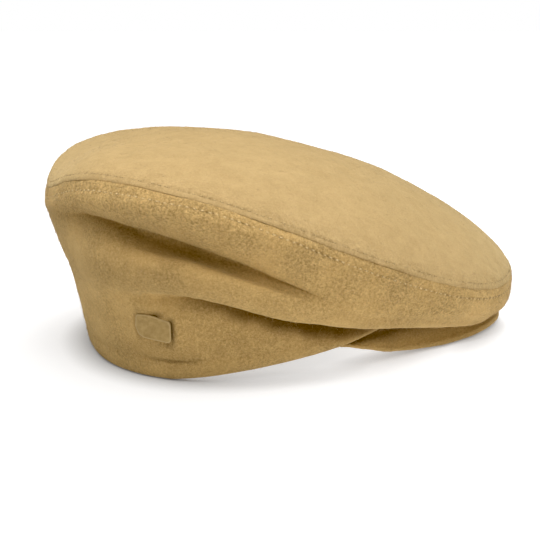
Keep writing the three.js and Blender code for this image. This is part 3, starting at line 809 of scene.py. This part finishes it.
def wool_material(name, base, dark, light, grain=1.0, nap=1.0, seed=0.0):
    m, nt, b = new_material(name)
    L = nt.links.new

    def node(kind, **kw):
        n = nt.nodes.new(kind)
        for k, v in kw.items():
            setattr(n, k, v)
        return n

    co = node("ShaderNodeTexCoord")
    mp = node("ShaderNodeMapping")
    mp.inputs["Location"].default_value = (seed, seed * 0.7, seed * 1.3)
    L(co.outputs["Object"], mp.inputs["Vector"])

    def noise_node(scale, detail, rough=0.6, dist=0.0):
        n = node("ShaderNodeTexNoise")
        n.inputs["Scale"].default_value = scale
        n.inputs["Detail"].default_value = detail
        n.inputs["Roughness"].default_value = rough
        n.inputs["Distortion"].default_value = dist
        L(mp.outputs["Vector"], n.inputs["Vector"])
        return n

    broad = noise_node(18, 3, 0.5)
    blotch = noise_node(120, 4, 0.6, 0.3)
    grains = noise_node(760, 3, 0.65, 0.5)
    fibre = noise_node(1300, 4, 0.7, 1.4)
    fine = noise_node(3200, 3, 0.7, 0.6)

    def ramp(src, stops):
        r = node("ShaderNodeValToRGB")
        cr = r.color_ramp
        while len(cr.elements) < len(stops):
            cr.elements.new(0.5)
        for e, (p, c) in zip(cr.elements, stops):
            e.position, e.color = p, (*c, 1)
        L(src, r.inputs["Fac"])
        return r.outputs["Color"]

    def times(x, y, share=None):
        n = node("ShaderNodeMix", data_type="RGBA", blend_type="MULTIPLY")
        n.inputs["Factor"].default_value = 1.0
        if share is not None:
            L(share, n.inputs["Factor"])
        L(x, n.inputs["A"])
        L(y, n.inputs["B"])
        return n.outputs["Result"]

    def grey(k, tint=1.0):
        return (k, k * (1 + (k - 1) * 0.06 * tint), k * (1 + (k - 1) * 0.25 * tint))

    colour = ramp(fibre.outputs["Fac"], [(0.32, dark), (0.50, base), (0.68, light)])
    nap_at = node("ShaderNodeAttribute", attribute_name="nap")
    colour = times(colour, ramp(grains.outputs["Fac"], [(0.32, grey(1 - 0.26 * grain)), (0.50, grey(1.0)), (0.70, grey(1 + 0.26 * grain))]),
                   nap_at.outputs["Fac"])
    colour = times(colour, ramp(blotch.outputs["Fac"], [(0.30, grey(0.93)), (0.70, grey(1.06))]))
    colour = times(colour, ramp(broad.outputs["Fac"], [(0.25, grey(0.965)), (0.75, grey(1.03))]))
    # painted shade: the colour darkens with the per-point share set in the creases, along the seam and round the
    # badge
    hollow = node("ShaderNodeAttribute", attribute_name="hollow")
    colour = times(colour, ramp(hollow.outputs["Fac"], [(0.0, (1, 1, 1)), (1.0, (0.27, 0.235, 0.20))]))
    L(colour, b.inputs["Base Color"])

    rr = node("ShaderNodeMapRange")
    rr.inputs["To Min"].default_value = 0.86
    rr.inputs["To Max"].default_value = 1.0
    L(fibre.outputs["Fac"], rr.inputs["Value"])
    L(rr.outputs["Result"], b.inputs["Roughness"])

    # height: nap clumps, then single fibres
    def scaled(src, k):
        n = node("ShaderNodeMath", operation="MULTIPLY")
        n.inputs[1].default_value = k
        L(src, n.inputs[0])
        return n.outputs[0]

    def plus(x, y):
        n = node("ShaderNodeMath", operation="ADD")
        L(x, n.inputs[0])
        L(y, n.inputs[1])
        return n.outputs[0]

    clump = noise_node(330, 3, 0.65, 0.8)
    height = plus(plus(scaled(clump.outputs["Fac"], 0.8), scaled(grains.outputs["Fac"], 0.9)),
                  plus(scaled(fibre.outputs["Fac"], 0.6), scaled(fine.outputs["Fac"], 0.2)))
    bp = node("ShaderNodeBump")
    bp.inputs["Strength"].default_value = min(1.0, 0.8 * nap)
    bp.inputs["Distance"].default_value = 0.0011 * nap
    uneven = node("ShaderNodeMath", operation="MULTIPLY")
    L(height, uneven.inputs[0])
    L(nap_at.outputs["Fac"], uneven.inputs[1])
    L(uneven.outputs[0], bp.inputs["Height"])
    L(bp.outputs["Normal"], b.inputs["Normal"])

    b.inputs["Sheen Weight"].default_value = 0.35
    b.inputs["Sheen Roughness"].default_value = 0.55
    b.inputs["Sheen Tint"].default_value = (0.95, 0.79, 0.44, 1)
    b.inputs["Specular IOR Level"].default_value = 0.12
    return m


def leather_material(name):
    m, nt, b = new_material(name)
    L = nt.links.new
    co = nt.nodes.new("ShaderNodeTexCoord")
    v = nt.nodes.new("ShaderNodeTexVoronoi")
    v.inputs["Scale"].default_value = 1500
    L(co.outputs["Object"], v.inputs["Vector"])
    n = nt.nodes.new("ShaderNodeTexNoise")
    n.inputs["Scale"].default_value = 420
    n.inputs["Detail"].default_value = 5
    L(co.outputs["Object"], n.inputs["Vector"])
    r = nt.nodes.new("ShaderNodeValToRGB")
    r.color_ramp.elements[0].position, r.color_ramp.elements[0].color = 0.3, (0.318, 0.210, 0.078, 1)
    r.color_ramp.elements[1].position, r.color_ramp.elements[1].color = 0.7, (0.430, 0.296, 0.122, 1)
    L(n.outputs["Fac"], r.inputs["Fac"])
    # painted highlight: a lighter band next to the edge, from the per-point share
    edge = nt.nodes.new("ShaderNodeAttribute")
    edge.attribute_name = "edge"
    pale = nt.nodes.new("ShaderNodeMix")
    pale.data_type, pale.blend_type = "RGBA", "MIX"
    pale.inputs["B"].default_value = (0.56, 0.42, 0.22, 1)
    L(edge.outputs["Fac"], pale.inputs["Factor"])
    L(r.outputs["Color"], pale.inputs["A"])
    L(pale.outputs["Result"], b.inputs["Base Color"])
    mr = nt.nodes.new("ShaderNodeMapRange")
    mr.inputs["To Min"].default_value = 0.5
    mr.inputs["To Max"].default_value = 0.7
    b.inputs["Specular IOR Level"].default_value = 0.25
    L(n.outputs["Fac"], mr.inputs["Value"])
    L(mr.outputs["Result"], b.inputs["Roughness"])
    bp = nt.nodes.new("ShaderNodeBump")
    bp.inputs["Strength"].default_value = 0.25
    bp.inputs["Distance"].default_value = 0.0002
    L(v.outputs["Distance"], bp.inputs["Height"])
    L(bp.outputs["Normal"], b.inputs["Normal"])
    return m


def fuzz_material(name, colour):
    """Loose fibres: as the cloth, a little lighter, each of its own shade."""
    m, nt, b = new_material(name)
    L = nt.links.new
    shade = nt.nodes.new("ShaderNodeAttribute")
    shade.attribute_name = "shade"
    r = nt.nodes.new("ShaderNodeValToRGB")
    r.color_ramp.elements[0].color = (*[c * 0.78 for c in colour], 1)
    r.color_ramp.elements[1].color = (*[min(1, c * 1.22 + 0.02) for c in colour], 1)
    L(shade.outputs["Fac"], r.inputs["Fac"])
    L(r.outputs["Color"], b.inputs["Base Color"])
    b.inputs["Roughness"].default_value = 0.8
    b.inputs["Specular IOR Level"].default_value = 0.25
    b.inputs["Sheen Weight"].default_value = 0.3
    return m


def thread_material(name, colour):
    m, nt, b = new_material(name)
    L = nt.links.new
    co = nt.nodes.new("ShaderNodeTexCoord")
    n = nt.nodes.new("ShaderNodeTexNoise")
    n.inputs["Scale"].default_value = 2500
    n.inputs["Detail"].default_value = 3
    L(co.outputs["Object"], n.inputs["Vector"])
    r = nt.nodes.new("ShaderNodeValToRGB")
    r.color_ramp.elements[0].position = 0.35
    r.color_ramp.elements[0].color = (*[c * 0.8 for c in colour], 1)
    r.color_ramp.elements[1].position = 0.7
    r.color_ramp.elements[1].color = (*[min(1, c * 1.12) for c in colour], 1)
    L(n.outputs["Fac"], r.inputs["Fac"])
    # painted shade at the thread's ends, from the per-point share
    shade = nt.nodes.new("ShaderNodeAttribute")
    shade.attribute_name = "shade"
    deep = nt.nodes.new("ShaderNodeMapRange")
    deep.inputs["To Min"].default_value = 0.10
    L(shade.outputs["Fac"], deep.inputs["Value"])
    mix = nt.nodes.new("ShaderNodeMix")
    mix.data_type, mix.blend_type = "RGBA", "MULTIPLY"
    mix.inputs["Factor"].default_value = 1.0
    L(r.outputs["Color"], mix.inputs["A"])
    L(deep.outputs["Result"], mix.inputs["B"])
    L(mix.outputs["Result"], b.inputs["Base Color"])
    b.inputs["Roughness"].default_value = 0.9
    b.inputs["Specular IOR Level"].default_value = 0.12
    bp = nt.nodes.new("ShaderNodeBump")
    bp.inputs["Strength"].default_value = 0.4
    bp.inputs["Distance"].default_value = 0.0001
    L(n.outputs["Fac"], bp.inputs["Height"])
    L(bp.outputs["Normal"], b.inputs["Normal"])
    return m


WOOL = dict(base=(0.455, 0.313, 0.143), dark=(0.400, 0.270, 0.117), light=(0.505, 0.352, 0.170))
# the side panel and peak use a lighter, more saturated copy of the same wool: painted light on faces that turn away
# from the overhead light
WOOL_SIDE_LIGHTENED = dict(base=(0.530, 0.346, 0.137), dark=(0.446, 0.282, 0.102), light=(0.614, 0.410, 0.173))
wool_top = wool_material("wool_top_look", grain=0.6, nap=0.65, seed=0.0, **WOOL)
wool_side = wool_material("wool_side_look", grain=1.4, nap=1.1, seed=3.1, **WOOL_SIDE_LIGHTENED)
wool_peak = wool_material("wool_peak_look", grain=0.9, nap=1.1, seed=6.4, **WOOL_SIDE_LIGHTENED)
leather = leather_material("badge_leather_look")
fuzz_top = fuzz_material("fuzz_top_look", WOOL["base"])
fuzz_side = fuzz_material("fuzz_side_look", WOOL_SIDE_LIGHTENED["base"])
thread = thread_material("thread_look", (0.72, 0.53, 0.27))
# the top row gets a darker copy of the same thread: painted shade
thread_top_shaded = thread_material("thread_top_shaded_look", (0.50, 0.36, 0.175))

# ------------------------------------------------------------------ build
side, side_face, side_n = make_side()
top, top_face, top_n = make_top()
peak, peak_face, peak_n = make_peak()
badge = make_badge()
side_arc, top_arc = arc_up(side_face), arc_up(top_face)
side_st = make_stitches("side_stitches", side_face, side_n, side_arc[-1:] - side_arc, ROWS["side"]["off"], 0.05, 71)
top_st = make_stitches("top_stitches", top_face, top_n, top_arc[-1:] - top_arc, ROWS["top"]["off"], 0.14, 72)

side_dist = side_arc[-1:] - side_arc
side_fuzz = make_fuzz("side_fuzz", side_face, side_n, 21000, (1.2, 3.0), (0.12, 0.34), 81,
                      0.5 + 1.5 * bump(side_dist, 6, 20))
top_fuzz = make_fuzz("top_fuzz", top_face, top_n, 15000, (0.9, 2.2), (0.08, 0.22), 82,
                     0.6 + 1.2 * bump(top_arc[-1:] - top_arc, 0, 12))
peak_fuzz = make_fuzz("peak_fuzz", peak_face, peak_n, 5000, (1.0, 2.4), (0.10, 0.28), 83)

for ob, mat, slot in ((side_fuzz, fuzz_side, "wool_side"), (top_fuzz, fuzz_top, "wool_top"), (peak_fuzz, fuzz_side, "wool_peak"),
                      (side, wool_side, "wool_side"), (top, wool_top, "wool_top"), (peak, wool_peak, "wool_peak"),
                      (badge, leather, "badge_leather"), (side_st, thread, "wool_side"), (top_st, thread_top_shaded, "wool_top")):
    ob.data.materials.append(mat)
    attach(ob, "root")
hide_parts("side_panel")
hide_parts("crown_top")
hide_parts("peak")
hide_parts("badge")

# ------------------------------------------------------------------ floor, light, camera
bpy.ops.mesh.primitive_circle_add(vertices=96, radius=30.0, fill_type="NGON", location=(0, 0, -0.0002))
floor = bpy.context.object
floor.name = "floor"
fm, fnt, fb = new_material("floor_look")
fb.inputs["Base Color"].default_value = (FLOOR["colour"],) * 3 + (1,)
fb.inputs["Roughness"].default_value = 0.9
fb.inputs["Specular IOR Level"].default_value = 0.1
fb.inputs["Emission Color"].default_value = (1, 1, 1, 1)
fco = fnt.nodes.new("ShaderNodeTexCoord")
flen = fnt.nodes.new("ShaderNodeVectorMath")
flen.operation = "DISTANCE"
flen.inputs[1].default_value = FLOOR["middle"]
fmr = fnt.nodes.new("ShaderNodeMapRange")
fmr.interpolation_type = "SMOOTHSTEP"
for key, value in (("From Min", FLOOR["near"]), ("From Max", FLOOR["far"]), ("To Min", FLOOR["glow"]), ("To Max", FLOOR["far_glow"])):
    fmr.inputs[key].default_value = value
fnt.links.new(fco.outputs["Object"], flen.inputs[0])
fnt.links.new(flen.outputs["Value"], fmr.inputs["Value"])
# painted contact shadow: occlusion darkens the floor's glow within a short reach of the cap
fao = fnt.nodes.new("ShaderNodeAmbientOcclusion")
fao.samples = 8
fao.inputs["Distance"].default_value = FLOOR["painted_shadow_reach"]
fmul = fnt.nodes.new("ShaderNodeMath")
fmul.operation = "MULTIPLY"
fnt.links.new(fmr.outputs["Result"], fmul.inputs[0])
fnt.links.new(fao.outputs["AO"], fmul.inputs[1])
fnt.links.new(fmul.outputs[0], fb.inputs["Emission Strength"])
floor.data.materials.append(fm)

world = bpy.data.worlds.new("studio")
bpy.context.scene.world = world
world.use_nodes = True
wt = world.node_tree
wco = wt.nodes.new("ShaderNodeTexCoord")
wsep = wt.nodes.new("ShaderNodeSeparateXYZ")
wramp = wt.nodes.new("ShaderNodeValToRGB")
wt.links.new(wco.outputs["Generated"], wsep.inputs[0])
wt.links.new(wsep.outputs["Z"], wramp.inputs["Fac"])
wt.links.new(wramp.outputs["Color"], wt.nodes["Background"].inputs["Color"])
wramp.color_ramp.elements[0].position, wramp.color_ramp.elements[0].color = 0.03, (1, 1, 1, 1)
wramp.color_ramp.elements[1].position, wramp.color_ramp.elements[1].color = 0.055, (LIGHT["sky"], LIGHT["sky"], LIGHT["sky"], 1)
wt.nodes["Background"].inputs["Strength"].default_value = 1.0

for light_name, spec in (("top_light", LIGHT), ("fill_light", FILL)):
    light_data = bpy.data.lights.new(light_name, "AREA")
    light_data.energy = spec["power"]
    light_data.shape = "DISK"
    light_data.size = spec["size"]
    light = bpy.data.objects.new(light_name, light_data)
    bpy.context.scene.collection.objects.link(light)
    light.location = spec["place"]
    light.rotation_mode = "QUATERNION"
    light.rotation_quaternion = (Vector(spec["aim"]) - Vector(spec["place"])).to_track_quat("-Z", "Y")

az, el = math.radians(CAMERA["azimuth"]), math.radians(CAMERA["elevation"])
back_way = np.array([-math.sin(az) * math.cos(el), -math.cos(az) * math.cos(el), math.sin(el)])
eye = np.array(CAMERA["target"]) + back_way * CAMERA["distance"]
cam_data = bpy.data.cameras.new("camera")
cam_data.sensor_width = 36.0
cam_data.lens = CAMERA["focal_px"] / 540.0 * 36.0
cam_data.clip_start, cam_data.clip_end = 0.05, 50
cam = bpy.data.objects.new("camera", cam_data)
bpy.context.scene.collection.objects.link(cam)
cam.location = Vector(to_world(eye))
cam.rotation_mode = "QUATERNION"
cam.rotation_quaternion = Vector(-back_way).to_track_quat("-Z", "Y")
bpy.context.scene.camera = cam
bpy.context.scene.view_settings.view_transform = "Standard"
bpy.context.scene.view_settings.look = "None"
bpy.context.scene.view_settings.exposure = 0.0
bpy.context.scene.view_settings.gamma = 1.0
bpy.context.scene.view_settings.use_curve_mapping = True
bpy.context.scene.view_settings.curve_mapping.black_level = (BLACK, BLACK, BLACK)
bpy.context.scene.view_settings.curve_mapping.update()
